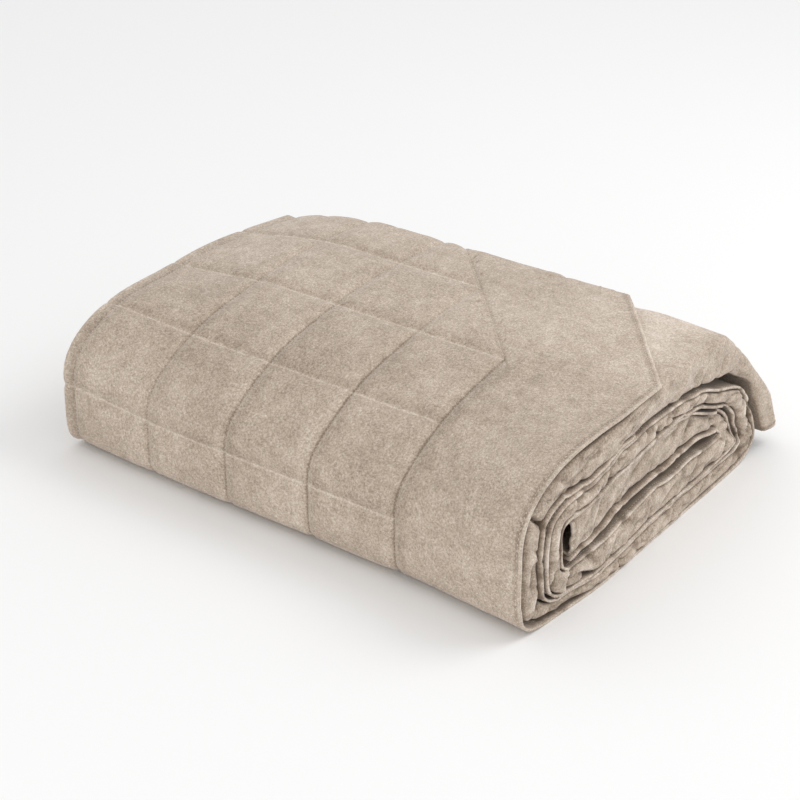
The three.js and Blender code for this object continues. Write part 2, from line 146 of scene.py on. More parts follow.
tail = {  # the end of the roll, from the back shoulder down, and the same where the hems show
    "outer": ((408, 138), (425, 98), (434, 64), (436, 16)),
    "inner": ((385, 124), (404, 90), (413, 57), (414, 8)),
    "outerAtEnd": ((402, 147), (430, 119), (449, 99), (469, 77), (480, 58), (497, 22)),
    "innerAtEnd": ((378, 121), (401, 109), (424, 97), (438, 73), (450, 48), (464, 22)),
}
blend = {  # x where the section turns into that of the hem end
    "near": (430, 560),
    "back": (310, 590),
    "backTurn": 0.5,  # the back of the roll's outermost layer
    "turnsAround": 4,  # and from there to the back of the next layer
    "backReach": (0.5, 1),  # how many turns the back of a layer goes to either side
}
warp = {  # how the section changes along x, as amounts in the middle and at the left
    "slump": (0.232, 0.055),
    "slumpPlace": (-12.6, 126),
    "crown": (0.042, -0.05),
    "nearStep": (11.5, 13.4),
    "nearStepFade": 101,
    "rightBlend": (440, 600),
    "leftBlend": (-11, 150),
    "cornerDrop": 0.05,  # the folds round off at the left of the back
    "cornerPlace": (-15, 45),
    "cornerFade": (200, 360),
}
lastTurn = 10


def heightOf(name, y, atEnd):
    if atEnd and name in endLevels:
        points = endLevels[name]
        index = min(max(bisect_left([p[0] for p in points], y), 1), len(points) - 1)
        (y0, z0), (y1, z1) = points[index - 1], points[index]
        return mix(z0, z1, smooth(y0, y1, y))
    height = 0
    for i, here in enumerate(stations):
        weight = 1
        for j, there in enumerate(stations):
            if j != i:
                weight *= (y - there) / (here - there)
        height += weight * levels[name][i]
    return height


def runHeights(index, outerY, innerY, atEnd):
    outerName, innerName, outward = runs[index]
    half = (quilt["layer"] + quilt["airBetweenTurns"]) / 2
    outerGap = quilt["layer"] / 2 if outerName in ("top", "surface") else half
    outer = heightOf(outerName, outerY, atEnd) - outward * outerGap
    return outer, heightOf(innerName, innerY, atEnd) + outward * half


# A smooth curve through all of the points
def throughPoints(points, share):
    spans = len(points) - 1
    at = min(share * spans, spans - 1e-9)
    i = int(at)
    t = at - i
    a, b, c, d = (Vector(points[min(max(i + k, 0), spans)]) for k in (-1, 0, 1, 2))
    bent, twisted = 2 * a - 5 * b + 4 * c - d, 3 * b - a - 3 * c + d
    return 0.5 * (2 * b + (c - a) * t + bent * t * t + twisted * t ** 3)


def bendStart(index):
    return bends[index]["outer"][0], bends[index]["inner"][0]


sectionCache = {}


# The roll's section: outer and inner line at a turn, 0 at the hanging end and 10 at the core
def sectionAt(turn, atEnd):
    key = (round(turn, 7), atEnd)
    if key in sectionCache:
        return sectionCache[key]
    if turn < 1:
        heights = runHeights(0, *topRunStart, atEnd)
        made = []
        for side, y, z in zip(("outer", "inner"), topRunStart, heights):
            point = throughPoints(((y, z),) + tail[side + "AtEnd" if atEnd else side], 1 - turn)
            made.append((point.x, point.y))
    else:
        part = min(int(turn) - 1, lastTurn - 2)
        share = turn - 1 - part
        index = part // 2
        if part % 2 == 0:  # a run
            before = bendStart(index - 1) if index > 0 else topRunStart
            after = bendStart(index) if index < len(bends) else coreEnd
            ys = [mix(a, b, share) for a, b in zip(before, after)]
            made = list(zip(ys, runHeights(index, *ys, atEnd)))
        else:  # a bend, half of a squared ellipse
            bend = bends[index]
            ys = bendStart(index)
            start, end = runHeights(index, *ys, atEnd), runHeights(index + 1, *ys, atEnd)
            angle = math.pi * (share - 0.5)
            made = []
            for side, y, z0, z1 in zip(("outer", "inner"), ys, start, end):
                if atEnd and side + "AtEnd" in bend:
                    point = throughPoints(((y, z0),) + bend[side + "AtEnd"] + ((y, z1),), share)
                    made.append((point.x, point.y))
                    continue
                _, reach, leave, join = bend[side]
                power = leave if angle < 0 else join
                radius = (abs(math.cos(angle)) ** power + abs(math.sin(angle)) ** power) ** (-1 / power)
                along = reach * abs(math.cos(angle)) * radius
                across = math.sin(angle) * radius
                made.append((y + bend["side"] * along, (z0 + z1) / 2 + across * (z1 - z0) / 2))
    sectionCache[key] = made
    return made


depthCache = {}


# Distance between the two lines, square to the outer one
def depthAt(turn, atEnd):
    key = (round(turn, 7), atEnd)
    if key not in depthCache:
        step = 0.01
        outer, inner = sectionAt(turn, atEnd)
        before = sectionAt(max(0, turn - step), atEnd)[0]
        after = sectionAt(min(lastTurn, turn + step), atEnd)[0]
        alongY, alongZ = after[0] - before[0], after[1] - before[1]
        across = alongY * (inner[1] - outer[1]) - alongZ * (inner[0] - outer[0])
        depthCache[key] = abs(across) / math.hypot(alongY, alongZ)
    return depthCache[key]


# Moves a point of the section to where it lies at x; the cloth on the surface stays there
def placeAt(x, y, z):
    fromRight = 1 - smooth(*warp["rightBlend"], x)
    fromLeft = smooth(*warp["leftBlend"], x)

    def change(name):
        middle, left = warp[name]
        return mix(left, middle, fromLeft) * fromRight

    lost = change("slump") * hump(y, *warp["slumpPlace"])
    steppedBack = change("nearStep") * (1 - smooth(0, warp["nearStepFade"], y))
    lowest = quilt["layer"] / 2
    lost += warp["cornerDrop"] * hump(x, *warp["cornerPlace"]) * smooth(*warp["cornerFade"], y)
    height = lowest + (z - lowest) * (1 - lost + change("crown"))
    return Vector((x, y + steppedBack, height))


# Squares along the cloth from the first long seam, against the turn of the roll
lineSteps = 8000
lineTurns = [lastTurn * step / lineSteps for step in range(lineSteps + 1)]
linePoints = [placeAt(quilt["midLength"], *sectionAt(turn, False)[0]) for turn in lineTurns]
lineLengths = [0.0]
for before, after in zip(linePoints, linePoints[1:]):
    lineLengths.append(lineLengths[-1] + (after - before).length)
firstSeam = next(
    i for i, turn in enumerate(lineTurns) if turn > 2 and linePoints[i].z < quilt["firstSeamHeight"]
)
firstAlong = (lineLengths[firstSeam] - lineLengths[0]) / square
lastAlong = (lineLengths[firstSeam] - lineLengths[-1]) / square
print(f"The roll runs from {firstAlong:.2f} to {lastAlong:.2f} squares")


def turnAt(along):
    wanted = lineLengths[firstSeam] - along * square
    i = min(max(bisect_left(lineLengths, wanted), 1), len(lineLengths) - 1)
    share = (wanted - lineLengths[i - 1]) / max(lineLengths[i] - lineLengths[i - 1], 1e-9)
    return min(lastTurn, max(0.0, mix(lineTurns[i - 1], lineTurns[i], share)))


def alongAt(turn):
    at = turn / lastTurn * lineSteps
    i = min(int(at), lineSteps - 1)
    return (lineLengths[firstSeam] - mix(lineLengths[i], lineLengths[i + 1], at - i)) / square


# The hem end of the folded quilt, where every turn of the roll shows
endLines = {
    "recede": 0.079,  # how the end stands back towards the far side
    "flapRecede": 0.025,
    "recedeFrom": 100,
    "underFlap": (2, 3.2),  # turns where the hem goes from the flap's line to the others'
    "edges": (  # turn and x of the outer hem, of the folded edge and of the inner hem
        (0, 599.5, 610, 608),
        (1, 599.5, 603, 601.5),
        (1.9, 599.5, 602, 601.5),
        (2.1, 599.5, 597, 599),
        (2.8, 600, 597, 600),
        (3, 602.5, 604, 602.5),
        (5, 602.5, 602, 601.5),
        (6, 602.5, 604, 603),
        (8, 602.5, 603, 603),
        (8.5, 602, 602, 602),
        (9, 601, 596, 599),
        (9.6, 601, 594, 598),
        (9.9, 601, 600, 600),
        (10, 601, 602, 601),
    ),
    "waves": 1.0,  # how far the edges wander
    "loose": 520,  # x from which the cloth is dented
}


# Slow and quick waves of an edge; each kind of edge has its own
def wander(along, seed):
    first = noise.noise(Vector((along * 0.9, seed, 0.3)))
    second = noise.noise(Vector((along * 2.9, seed, 7.1)))
    return endLines["waves"] * (first + 0.5 * second)


# Where an edge of that kind lies along x
def endX(kind, turn, y, along):
    rows = endLines["edges"]
    i = min(max(bisect_left([row[0] for row in rows], turn), 1), len(rows) - 1)
    column = ("outerHem", "fold", "innerHem").index(kind) + 1
    plain = mix(rows[i - 1][column], rows[i][column], smooth(rows[i - 1][0], rows[i][0], turn))
    recede = endLines["recede"]
    waves = wander(along, 1.7 + 3.3 * column)
    if kind == "outerHem":
        flap = 1 - smooth(*endLines["underFlap"], turn)
        recede = mix(recede, endLines["flapRecede"], flap)
        waves *= 1 - flap
    return plain - max(0, y - endLines["recedeFrom"]) * recede + waves


# Squares across the cloth: the four plies and the three folds between them
reach = quilt["foldReach"] / square
leftStart = quilt["leftFold"] + reach
lipStart = 5.49 - reach
foldWidth = {"left": 0.35, "right": 0.42}
plyWidth = lipStart - leftStart
innerPlyWidth = 5.42 - leftStart
plyEnds = [0, quilt["hem"] - leftStart]
for width in (foldWidth["left"], plyWidth, foldWidth["right"], plyWidth, foldWidth["left"], innerPlyWidth):
    plyEnds.append(plyEnds[-1] + width)
clothWidth = plyEnds[-1]
clothLength = firstAlong - lastAlong
print(f"The cloth is {clothWidth * square * mm:.2f} m wide and {clothLength * square * mm:.2f} m long")


# How deep a ply lies in its turn at x: evenly in the middle, wide open in the folds at the ends
def plyDepth(ply, x, depth, turn):
    closest = quilt["layer"] + quilt["airBetweenPlies"]
    even = depth * ply / 3
    opening, closing = quilt["nearGapTurns"]
    underNear = quilt["nearGap"] * smooth(*opening, turn) * (1 - smooth(*closing, turn))
    atRight = (0, closest + underNear, depth - closest, depth)[ply]
    atLeft = (0, (depth - closest) / 2, (depth + closest) / 2, depth)[ply]
    underFlap = ply == 1 and turn < quilt["flapTurns"]
    spread = quilt["secondPlySpread"] if underFlap else quilt["rightSpread"]
    rightShare = smooth(spread[0] * square, spread[1] * square, x)
    leftX = quilt["leftFold"] * square
    leftShare = 1 - smooth(leftX, leftX + quilt["leftSpread"] * square, x)
    return even + (atRight - even) * rightShare + (atLeft - even) * leftShare


# Place in space of a point of the flat cloth, before its relief
def clothPoint(across, along):
    turn = turnAt(along)
    part = min(max(bisect_left(plyEnds, across) - 1, 0), 6)
    share = (across - plyEnds[part]) / (plyEnds[part + 1] - plyEnds[part])
    ply = part // 2
    middle = sectionAt(turn, False)
    end = sectionAt(turn, True)
    leftX = leftStart * square
    angle = math.pi * (share - 0.5)
    power = quilt["foldSquare"]
    radius = (abs(math.cos(angle)) ** power + abs(math.sin(angle)) ** power) ** (-1 / power)
    foldX = endX("fold", turn, end[0][0] / 2 + end[1][0] / 2, along)
    if part == 0:  # the outer ply
        x = mix(endX("outerHem", turn, end[0][0], along), leftX, share)
    elif part == 6:  # the inner ply
        x = mix(leftX, endX("innerHem", turn, end[1][0], along), share)
    elif part in (2, 4):  # the two between them
        x = mix(leftX, foldX - quilt["foldReach"], share if part == 2 else 1 - share)
    else:  # the folds
        side = 1 if part == 3 else -1
        if side < 0:
            foldX = quilt["leftFold"] * square
        x = foldX - side * quilt["foldReach"] * (1 - radius * math.cos(angle))
    around = blend["turnsAround"]
    fromBack = abs((turn - blend["backTurn"] + around / 2) % around - around / 2)
    atBack = 1 - smooth(*blend["backReach"], fromBack)  # 1 round the back, 0 round the near side
    atEnd = smooth(*(mix(near, back, atBack) for near, back in zip(blend["near"], blend["back"])), x)
    (oy, oz), (iy, iz) = middle
    depth = depthAt(turn, False)
    if atEnd > 0:
        (oy2, oz2), (iy2, iz2) = end
        oy, oz = mix(oy, oy2, atEnd), mix(oz, oz2, atEnd)
        iy, iz = mix(iy, iy2, atEnd), mix(iz, iz2, atEnd)
        depth = mix(depth, depthAt(turn, True), atEnd)
    if part % 2 == 0:
        into = plyDepth(ply, x, depth, turn)
    else:
        turned = (1 + radius * math.sin(angle)) / 2
        into = mix(plyDepth(ply, foldX, depth, turn), plyDepth(ply + 1, foldX, depth, turn), turned)
    into /= depth
    return placeAt(x, mix(oy, iy, into), mix(oz, iz, into))


# Relief of the cloth: squares puffed between drawn-in seams, hems, creases and slight unevenness
relief = {
    "puff": 1.7,
    "puffReach": 0.2,  # squares from a seam to the full puff
    "seamDepth": 1.7,
    "seamWidth": 0.03,
    "crossSeamDepth": 1.6,  # added to the seams that run round the near side
    "hemRise": 0.5,
    "hemWidth": 0.095,
    "hemStitch": 0.045,
    "hemGroove": 0.5,
    "lowestPuff": -0.4,
    "swell": 1.1,  # long waves of the cloth
    "ripple": 0.35,
}
creases = (  # x and along of the middle in squares, angle from x, half length, half width and depth
    {"at": (4.62, 2.55), "angle": 35, "size": (0.30, 0.045), "depth": 1.6},
    {"at": (4.85, 2.9), "angle": 20, "size": (0.22, 0.04), "depth": 1.2},
    {"at": (4.35, 2.0), "angle": 100, "size": (0.35, 0.06), "depth": 1.3},
    {"at": (4.55, 1.3), "angle": 80, "size": (0.45, 0.07), "depth": 1.2},
    {"at": (4.3, 0.45), "angle": 95, "size": (0.35, 0.05), "depth": 1.3},
    {"at": (3.5, 3.75), "angle": 70, "size": (0.28, 0.05), "depth": 1.6},
    {"at": (2.6, 4.12), "angle": 15, "size": (0.3, 0.05), "depth": 1.8},
    {"at": (3.3, 4.3), "angle": -20, "size": (0.35, 0.06), "depth": 2.0},
    {"at": (1.5, 3.9), "angle": 60, "size": (0.22, 0.05), "depth": 1.4},
    {"at": (0.5, 3.6), "angle": 110, "size": (0.25, 0.06), "depth": 1.5},
    {"at": (0.45, 1.5), "angle": 30, "size": (0.3, 0.06), "depth": 1.0},
    {"at": (1.45, 0.5), "angle": 75, "size": (0.3, 0.05), "depth": 0.8},
    {"at": (3.45, 1.45), "angle": 65, "size": (0.32, 0.05), "depth": 0.8},
)


# Squares in from the nearest hem
def hemDistance(across, along):
    edges = [across, clothWidth - across, firstAlong - along, along - lastAlong]
    for inFromHem in (across, clothWidth - across):
        slope = quilt["cutSlope"]
        edges.append((quilt["cutAcross"] + inFromHem * slope - along) / math.hypot(1, slope))
    return max(0, min(edges))


# Which seams there are at a place: cross seams, long seams and the one across the corner
def seamsAt(x, along):
    last, corner, slack = quilt["lastSeam"], quilt["cornerSeam"], 0.02
    inside = x + along <= corner + slack
    atCorner = abs(x - along) <= corner - last + slack
    return inside and along <= last + slack, inside and x <= last + slack, atCorner


def fromSeam(place):
    return place - min(quilt["lastSeam"], round(place))


def fromCornerSeam(x, along):
    return (x + along - quilt["cornerSeam"]) / math.sqrt(2)


# Squares to the nearest cross seam, and to the nearest of the others
def seamDistance(across, along):
    x = quilt["hem"] - across
    cross, long = [1.0], [1.0]
    if across < plyEnds[1]:
        crossHere, longHere, cornerHere = seamsAt(x, along)
        if cornerHere:
            long.append(abs(fromCornerSeam(x, along)))
        if crossHere:
            cross.append(abs(fromSeam(x)))
        if longHere:
            long.append(abs(fromSeam(along)))
    elif along < 3.1:
        long.append(abs(along - round(along)))
    return min(cross), min(long)


# How far the cloth stands out of its plain folds
def reliefAt(across, along):
    cross, long = seamDistance(across, along)
    outer = across < plyEnds[1]
    puffed = relief["puff"] if outer and along > relief["lowestPuff"] else 0.3
    offset = puffed * smooth(0, relief["puffReach"], min(cross, long))
    offset -= relief["seamDepth"] * hump(min(cross, long), 0, relief["seamWidth"])
    if outer:
        drawn = relief["crossSeamDepth"] * mix(0.5, 1, smooth(0.5, 3.5, quilt["hem"] - across))
        offset -= drawn * hump(cross, 0, relief["seamWidth"]) * smooth(2.6, 1.2, along)
    edge = hemDistance(across, along)
    offset += relief["hemRise"] * (1 - smooth(0.6 * relief["hemWidth"], relief["hemWidth"], edge))
    offset -= relief["hemGroove"] * hump(edge, relief["hemStitch"], 0.014)
    if outer and along > quilt["facing"]:
        flat = Vector((across * 1.4, along * 1.4, 0.5))
        offset += relief["swell"] * noise.noise(flat) * smooth(0, 0.3, edge)
        offset += relief["ripple"] * noise.noise(flat * 5.5)
        x = quilt["hem"] - across
        for crease in creases:
            dx, da = x - crease["at"][0], along - crease["at"][1]
            if abs(dx) + abs(da) < 1.2:
                angle = math.radians(crease["angle"])
                lengthwise = dx * math.cos(angle) + da * math.sin(angle)
                sideways = da * math.cos(angle) - dx * math.sin(angle)
                length, width = crease["size"]
                bent = sideways - 0.12 * lengthwise * lengthwise / length
                shape = hump(bent, 0, width) - 0.6 * hump(bent, 2.0 * width, 1.3 * width)
                offset -= crease["depth"] * shape * hump(lengthwise, 0, length)
    return offset


# Pinches and hollows in the hem end: y and height of the middle, angle, half length, half width, depth
endDents = (
    (304, 148, 75, 9, 4, 7), (362, 143, 60, 7, 4, 6), (225, 121, 80, 9, 4.5, 8),
    (83, 121, 75, 8, 4, 8), (72, 112, 40, 9, 3.5, 9), (178, 106, 85, 8, 4, 7),
    (128, 116, 80, 7, 4, 5), (260, 128, 75, 7, 4, 5), (234, 65, 35, 10, 3, 8),
    (283, 70, 60, 8, 3, 6), (160, 55, -32, 14, 4.5, 12), (93, 48, -45, 13, 5, 13),
    (90, 29, -20, 15, 3, 9), (155, 8, 55, 7, 2.5, 4.5), (115, 7, 80, 7, 2.5, 4),
    (266, 17, 60, 9, 2.5, 4.5), (360, 16, 40, 9, 3, 5), (200, 12, 70, 7, 2.5, 3.5),
    (48, 86, 80, 12, 5, 12), (12, 118, -43, 16, 3, 13), (-9, 95, 90, 16, 4, 6),
    (-8, 55, 90, 12, 4, 5), (22, 27, 70, 7, 4.5, 13), (435, 66, 80, 11, 5, 20),
    (418, 17, 20, 8, 5, 14), (10, 60, 80, 14, 4, 5), (330, 112, 20, 12, 4, 6),
    (300, 90, 50, 10, 4, 6), (120, 80, 35, 12, 4, 6), (200, 92, 20, 14, 5, 5),
    (330, 60, 70, 10, 5, 6), (398, 128, 55, 8, 3, 9), (372, 118, 30, 14, 2.5, 8),
    (345, 128, 20, 12, 2.5, 7), (318, 140, 75, 7, 2.5, 8), (438, 62, 78, 9, 4.5, 14),
    (425, 14, 20, 7, 4, 9), (356, 76, 60, 7, 3.5, 12), (436, 40, 70, 8, 3, 7),
    (9, 8, 60, 8, 3, 7), (36, 41, 80, 12, 3, 8), (409, 112, 60, 8, 3, 9),
    (421, 35, 65, 10, 2.5, 8), (408, 100, -60, 9, 3, 9), (420, 84, 65, 9, 3, 8),
    (250, 40, 20, 16, 2.5, 6), (310, 42, 40, 12, 2.5, 7), (215, 36, 65, 9, 2.5, 6),
    (180, 34, 25, 14, 2.5, 5), (140, 30, 60, 9, 2.5, 6), (340, 34, 15, 14, 2.5, 6),
    (382, 38, 50, 10, 3, 8), (60, 34, 75, 12, 3, 7), (30, 70, 85, 12, 3, 7),
    (150, 128, 40, 10, 2.5, 6), (205, 132, 60, 8, 2.5, 6), (245, 126, 30, 12, 2.5, 6),
    (108, 108, 55, 9, 2.5, 6), (280, 104, 20, 12, 2.5, 6),
)
dentReach = {
    "far": 40,  # mm from a dent's middle, beyond which it counts for nothing
    "depth": (535, 585),  # x where the dents start and where they are in full
    "shade": (535, 570),  # the same for their shade
}
wrinkles = {"depth": 2.4, "width": 0.07, "size": (34, 13)}  # along the folded edges
hollow = {"corners": ((346, 82), (388, 88), (428, 28), (374, 56)), "depth": 9, "soft": 4}


# 1 inside the hollow's four corners, 0 outside them
def insideHollow(y, z):
    corners = hollow["corners"]
    share = 1.0
    for (y0, z0), (y1, z1) in zip(corners, corners[1:] + corners[:1]):
        inward = ((z1 - z0) * (y - y0) - (y1 - y0) * (z - z0)) / math.hypot(y1 - y0, z1 - z0)
        share *= smooth(-hollow["soft"], hollow["soft"], inward)
    return share


# 1 on winding lines along the folded edges, 0 between them
def wrinkleAt(place):
    wide, high = wrinkles["size"]
    return hump(noise.noise(Vector((8.6, place.y / wide, place.z / high))), 0, wrinkles["width"])


# Pushes a point of the hem end in, where there is a dent
def dented(place, across, along):
    if place.x < endLines["loose"] or across < 0.6 and along > -0.85:
        return place
    shift = 0
    for y, z, angle, length, width, depth in endDents:
        dy, dz = place.y - y, place.z - z
        if max(abs(dy), abs(dz)) < dentReach["far"]:
            turned = math.radians(angle)
            lengthwise = dy * math.cos(turned) + dz * math.sin(turned)
            sideways = dz * math.cos(turned) - dy * math.sin(turned)
            shift += depth * hump(lengthwise, 0, length) * hump(sideways, 0, width)
    fromLip = max(0, plyEnds[3] - across, across - plyEnds[4])
    shift += wrinkles["depth"] * wrinkleAt(place)
    shift *= mix(0.15, 1, 1 - smooth(0, 0.3, fromLip))
    shift += hollow["depth"] * insideHollow(place.y, place.z)
    weight = smooth(*dentReach["depth"], place.x)
    loose = smooth(3, 14, place.z) * weight
    wave = noise.noise_vector(Vector((place.x / 70, place.y / 34, place.z / 34)))
    return place + Vector((-shift * weight, 1.6 * wave.y * loose, 1.6 * wave.z * loose))


# Painted light and shade of the cloth: seams, stitched hems, dents, the folds' inner sides and between the
# plies, from -1 to 1
paintedShading = {
    "line": 0.012,  # half width of a stitched line, in squares
    # painted shade along the cross seams and the seam across the corner, painted highlight along the long
    # seams
    "crossLine": -0.75,
    "crossSide": -0.2,  # painted shade on the cloth right of a cross seam
    "crossCrest": 0.1,  # painted highlight left of it
    "longLine": 0.34,
    "longSide": -0.12,
    "cornerLine": -0.4,
    # painted highlight on the hem's edge, painted shade in its stitch groove
    "hemEdge": 0.38,
    "hemGroove": -0.45,
    # painted shade on the near band, painted light at the far end and behind the flap
    "nearBand": -0.12,
    "farEnd": 0.16,
    "behindFlap": 0.36,
    "dent": 0.17,  # painted shade for each mm of a dent's depth
    "ridge": 0.38,  # painted highlight beside it
    # painted light and shade of crumples, painted shade in wrinkles
    "crumple": 0.5,
    "wrinkle": -0.5,
    "foldSides": -0.6,  # painted shade where a fold turns in between its neighbours
    # painted shadow under the hem
    "underHem": -0.35,
    "between": -1.0,  # painted shade between the plies at the hem end
    "betweenReach": (2, 10),  # mm in from their edges
}


# Painted shade of the dents: dark in the hollow and a painted highlight on the ridge beside it, with
# painted light and shade of crumples and wrinkles
def dentShade(place):
    shade = 0
    for y, z, angle, length, width, depth in endDents:
        dy, dz = place.y - y, place.z - z
        if max(abs(dy), abs(dz)) < dentReach["far"]:
            turned = math.radians(angle)
            lengthwise = hump(dy * math.cos(turned) + dz * math.sin(turned), 0, length)
            sideways = dz * math.cos(turned) - dy * math.sin(turned)
            ridge = paintedShading["ridge"] * hump(sideways, 1.7 * width, 0.8 * width)
            shade -= paintedShading["dent"] * depth * lengthwise * (hump(sideways, 0, 0.6 * width) - ridge)
    wave = noise.noise(Vector((3.1, place.y / 13, place.z / 6)))
    return shade + paintedShading["crumple"] * wave + paintedShading["wrinkle"] * wrinkleAt(place)


# Painted light and shade of the cloth at a place
def paintedShadingAt(across, along, turn, place):
    outer = across < plyEnds[1]
    x = quilt["hem"] - across
    edge = hemDistance(across, along)
    # painted highlight along the hem's edge and painted shade in its stitch groove
    uneven = 0.7 + 0.9 * noise.noise(Vector((across * 1.7, along * 1.7, 4.4)))
    shade = paintedShading["hemEdge"] * uneven * (1 - smooth(0, 0.03, edge))
    shade += paintedShading["hemGroove"] * hump(edge, relief["hemStitch"], 0.02)
    facing = along > quilt["facing"]
    if outer and facing:
        nearLong = seamDistance(across, along)[1]
        crossHere, longHere, cornerHere = seamsAt(x, along)
        side = fromSeam(x)
        # painted shade in the cross seams and on their right, painted highlight on their left and along
        # the long seams, painted shade along the corner seam
        if crossHere:
            bent = smooth(2.7, 1.4, along)  # the cross seams are drawn tight round the near side
            bent *= mix(0.45, 1, smooth(0.5, 3.5, x))
            shade += paintedShading["crossLine"] * hump(side, 0, paintedShading["line"]) * mix(0.16, 1, bent)
            shade += paintedShading["crossSide"] * hump(side, 0.09, 0.07) * bent
            shade += paintedShading["crossCrest"] * hump(side, -0.07, 0.05) * bent
        if longHere:
            shade += paintedShading["longLine"] * hump(nearLong, 0, paintedShading["line"])
            shade += paintedShading["longSide"] * hump(fromSeam(along), 0.06, 0.05)
        if cornerHere:
            shade += paintedShading["cornerLine"] * hump(fromCornerSeam(x, along), 0, 0.02)
        # painted shade on the near band and painted light towards the far end
        shade += paintedShading["nearBand"] * hump(along, 1.2, 0.9)
        shade += paintedShading["farEnd"] * smooth(3.2, 5, x) * smooth(1.5, 3.5, along)
    lip = max(0, plyEnds[3] - across, across - plyEnds[4])
    # painted shade along the fold's sides and painted shadow under the hem
    if lip == 0:
        inFold = (across - plyEnds[3]) / foldWidth["right"]
        covered = smooth(1.6, 2.1, turn)
        shade += paintedShading["foldSides"] * (covered * hump(inFold, 0.03, 0.11) + hump(inFold, 0.97, 0.11))
        shade += paintedShading["underHem"] * hump(inFold, 0, 0.35) * covered * (1 - smooth(2.5, 3, turn))
    fromEnd = min(lip, clothWidth - across, lip if facing else across) * square
    # painted light behind the flap, painted shade between the plies
    if turn < 2.2 and plyEnds[2] < across < plyEnds[4]:
        behind = smooth(0, 0.6, turn) * (1 - smooth(1.3, 2.2, turn))
        shade += paintedShading["behindFlap"] * behind * smooth(0, 14, fromEnd)
    elif turn > 0.9 and (across > 0.5 or not facing):
        shade += paintedShading["between"] * smooth(*paintedShading["betweenReach"], fromEnd) * (1 - smooth(60, 160, fromEnd))
    # painted shade and highlights of the dents, crumples and wrinkles
    crumpled = turn > 2.2 or lip == 0 and turn > 1.6
    if crumpled and (across > 0.5 or along < -0.85):
        inward = 1 - smooth(5, 20, fromEnd)
        shade += dentShade(place) * smooth(*dentReach["shade"], place.x) * inward
    return min(1, max(-1, shade))


# Finished place of a point of the cloth's middle, or that far over it
def surfacePoint(across, along, over=0.0):
    step = 0.012
    place = clothPoint(across, along)
    lower, upper = max(0, across - step), min(clothWidth, across + step)
    down, up = max(lastAlong, along - step), min(firstAlong, along + step)
    acrossWay = clothPoint(upper, along) - clothPoint(lower, along)
    alongWay = clothPoint(across, up) - clothPoint(across, down)
    normal = alongWay.cross(acrossWay).normalized()
    return dented(place + normal * (reliefAt(across, along) + over), across, along), normal


# From the quilt's millimetres to the part's metres, no lower than that over the surface
def toPart(place, lowest):
    return Vector((place.x - quilt["centre"][0], place.y - quilt["centre"][1], max(place.z, lowest))) * mm


def spaced(start, end, step):
    count = max(1, round(abs(end - start) / step))
    return [mix(start, end, i / count) for i in range(count)]


# Flat grid of the cloth: stations across and along, closer at hems, folds and seams
seamOffsets = (-0.4, -0.28, -0.18, -0.1, -0.055, -0.025, 0, 0.025, 0.055, 0.1, 0.18, 0.28, 0.4, 0.5)
hemStations = [0, 0.012, 0.03, 0.045, 0.06, 0.08, 0.105, 0.15, 0.22, 0.32, 0.45]
acrossStations = hemStations + [0.65, 0.95, 1.95, 2.95, 3.95, 4.95]
acrossStations += spaced(5.25, plyEnds[1], 0.1) + spaced(plyEnds[1], plyEnds[2], 0.05)
for start, end in ((plyEnds[2], plyEnds[3]), (plyEnds[4], plyEnds[5])):
    middle = [start + d for d in (0, 0.12, 0.3, 0.9, 2.0, 3.0, 3.7, 4.1, 4.5, 4.75, 4.9, 5.02, 5.12)]
    acrossStations += middle if start == plyEnds[2] else [start + end - a for a in reversed(middle[1:])]
    if start == plyEnds[2]:
        acrossStations += spaced(end, plyEnds[4], 0.03)
acrossStations += spaced(plyEnds[5], plyEnds[6], 0.05)
acrossStations += [plyEnds[6] + d for d in (0, 0.12, 0.3, 0.9, 2.0, 3.0, 3.8)]
acrossStations += [clothWidth - a for a in [1.0, 0.7] + hemStations]
acrossStations = sorted(set(round(a, 5) for a in acrossStations))
alongStations = [firstAlong - a for a in hemStations[:-1]] + [5.0, 4.85, 4.7, 4.6, 4.5]
for seam in range(4, -1, -1):
    alongStations += [seam - offset for offset in seamOffsets]
lastShown = alongAt(quilt["lastShown"])
alongStations += [-0.56, -0.6, -0.63, -0.66, -0.7, -0.75]
partRows = (3, 22, 18, 18, 14, 15, 13, 15)
for part, count in enumerate(partRows):
    start = quilt["lastShown"] if part == 0 else part + 2
    alongStations += [alongAt(mix(start, part + 3, i / count)) for i in range(count)]
alongStations += [lastAlong + a for a in (0.1, 0.045, 0.02, 0)]
alongStations = sorted(set(round(a, 5) for a in alongStations), reverse=True)

bm = bmesh.new()
bmesh.ops.create_grid(bm, x_segments=len(acrossStations) - 1, y_segments=len(alongStations) - 1, size=1)
for vert in bm.verts:
    column = round((vert.co.x + 1) / 2 * (len(acrossStations) - 1))
    row = round((vert.co.y + 1) / 2 * (len(alongStations) - 1))
    vert.co = (acrossStations[column], alongStations[row], 0)


# Cuts the flat cloth's faces that are inside along a plane, and clears what lies beyond it
def cutAlong(point, normal, inside, clear=False):
    faces = [f for f in bm.faces if inside(f.calc_center_median())]
    geom = dict.fromkeys(faces)
    for f in faces:
        geom.update(dict.fromkeys(f.verts))
        geom.update(dict.fromkeys(f.edges))
    bmesh.ops.bisect_plane(bm, geom=list(geom), plane_co=point, plane_no=normal, clear_outer=clear)


